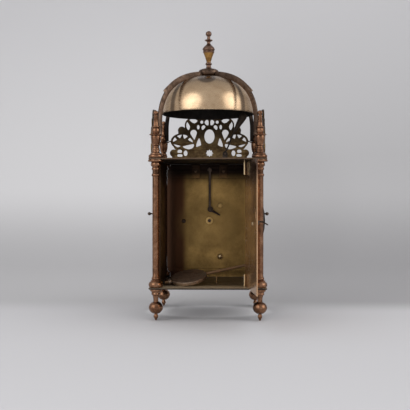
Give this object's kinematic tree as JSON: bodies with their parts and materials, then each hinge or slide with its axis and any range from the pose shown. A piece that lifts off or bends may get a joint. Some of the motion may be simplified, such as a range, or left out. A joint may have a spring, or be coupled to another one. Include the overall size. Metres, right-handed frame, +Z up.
{
  "type": "lantern clock",
  "caption": "Brass lantern clock seen from its open back: turned pillars, pierced frets, strapped bell, dial, side doors, an open rear door and a loose bob pendulum.",
  "frame": {"origin": "centre of the four feet on the standing surface", "axes": "+Z up; -Y the open back with the rear door; +Y the dial; +X right as seen from the back"},
  "size_m": [0.1672, 0.2473, 0.3956],
  "materials": {
    "copper_brass": "worn polish, coppery",
    "olive_brass": "dark patina",
    "bell_metal": "polished",
    "aged_brass": "aged satin",
    "bright_brass": "bright",
    "silvered_brass": "silvered, matt",
    "blued_steel": "dark, oiled"
  },
  "bodies": {
    "case": {"bottom_plate": "aged_brass", "top_plate": "aged_brass", "foot_back_left": "copper_brass", "pillar_back_left": "copper_brass", "finial_back_left": "copper_brass", "bell_strap_back_left": "olive_brass", "foot_back_right": "copper_brass", "pillar_back_right": "copper_brass", "finial_back_right": "copper_brass", "bell_strap_back_right": "olive_brass", "foot_front_left": "copper_brass", "pillar_front_left": "copper_brass", "finial_front_left": "copper_brass", "bell_strap_front_left": "olive_brass", "foot_front_right": "copper_brass", "pillar_front_right": "copper_brass", "finial_front_right": "copper_brass", "bell_strap_front_right": "olive_brass", "bell": "bell_metal", "bell_hub": "olive_brass", "bell_finial": "copper_brass", "bell_stud": "blued_steel", "bell_nut": "blued_steel", "front_fret": "olive_brass", "left_fret": "olive_brass", "right_fret": "olive_brass", "dial_plate": "aged_brass", "chapter_ring": "silvered_brass", "dial_boss": "aged_brass", "hammer_cock": "olive_brass", "dial_lug_left": "aged_brass", "dial_lug_right": "aged_brass", "lug_screw_left": "blued_steel", "lug_screw_right": "blued_steel", "crutch_stud": "blued_steel", "dial_stud_left": "bright_brass", "dial_stud_low": "bright_brass", "dial_stud_high": "bright_brass", "floor_pin": "bright_brass", "pendulum_bob": "aged_brass", "pendulum_rod": "blued_steel", "rating_nut": "bright_brass"},
    "rear_door": {"rear_door": "aged_brass", "rear_door_pintle_low": "bright_brass", "rear_door_pintle_high": "bright_brass", "latch_rivet": "bright_brass"},
    "rear_latch": {"rear_latch": "blued_steel"},
    "left_door": {"left_door": "aged_brass", "left_door_knob": "olive_brass"},
    "right_door": {"right_door": "aged_brass", "right_door_knob": "olive_brass"},
    "hammer": {"hammer_stem": "blued_steel", "hammer_arbor": "blued_steel"},
    "crutch": {"crutch": "olive_brass"},
    "hour_hand": {"hour_hand": "blued_steel", "hand_arbor": "blued_steel", "hand_collet": "aged_brass"}
  },
  "joints": [
    {"name": "rear_door_hinge", "type": "hinge", "parent": "case", "child": "rear_door", "pos_m": [0.0486, -0.06, 0.1272], "axis": [0, 0, 1], "range_deg": [-94.9, 25]},
    {"name": "rear_latch_pivot", "type": "hinge", "parent": "rear_door", "child": "rear_latch", "pos_m": [0.05724, -0.13152, 0.1294], "axis": [-0.9963, -0.0854, 0], "range_deg": [-20, 20]},
    {"name": "left_door_hinge", "type": "hinge", "parent": "case", "child": "left_door", "pos_m": [-0.0642, 0.0569, 0.129], "axis": [0, 0, 1], "range_deg": [-90, 0]},
    {"name": "right_door_hinge", "type": "hinge", "parent": "case", "child": "right_door", "pos_m": [0.0642, 0.0569, 0.129], "axis": [0, 0, 1], "range_deg": [0, 90]},
    {"name": "hammer_arbor_pivot", "type": "hinge", "parent": "case", "child": "hammer", "pos_m": [0.023, 0, 0.2232], "axis": [0, 1, 0], "range_deg": [-12, 1.2], "stiffness_Nm_per_rad": 0.05, "springref_deg": -2.86},
    {"name": "crutch_swing", "type": "hinge", "parent": "case", "child": "crutch", "pos_m": [0.0006, 0.0612, 0.2032], "axis": [0, 1, 0], "range_deg": [-4, 4]},
    {"name": "hour_hand_spin", "type": "hinge", "parent": "case", "child": "hour_hand", "pos_m": [0, 0.0765, 0.1276], "axis": [0, 1, 0], "continuous": true}
  ]
}
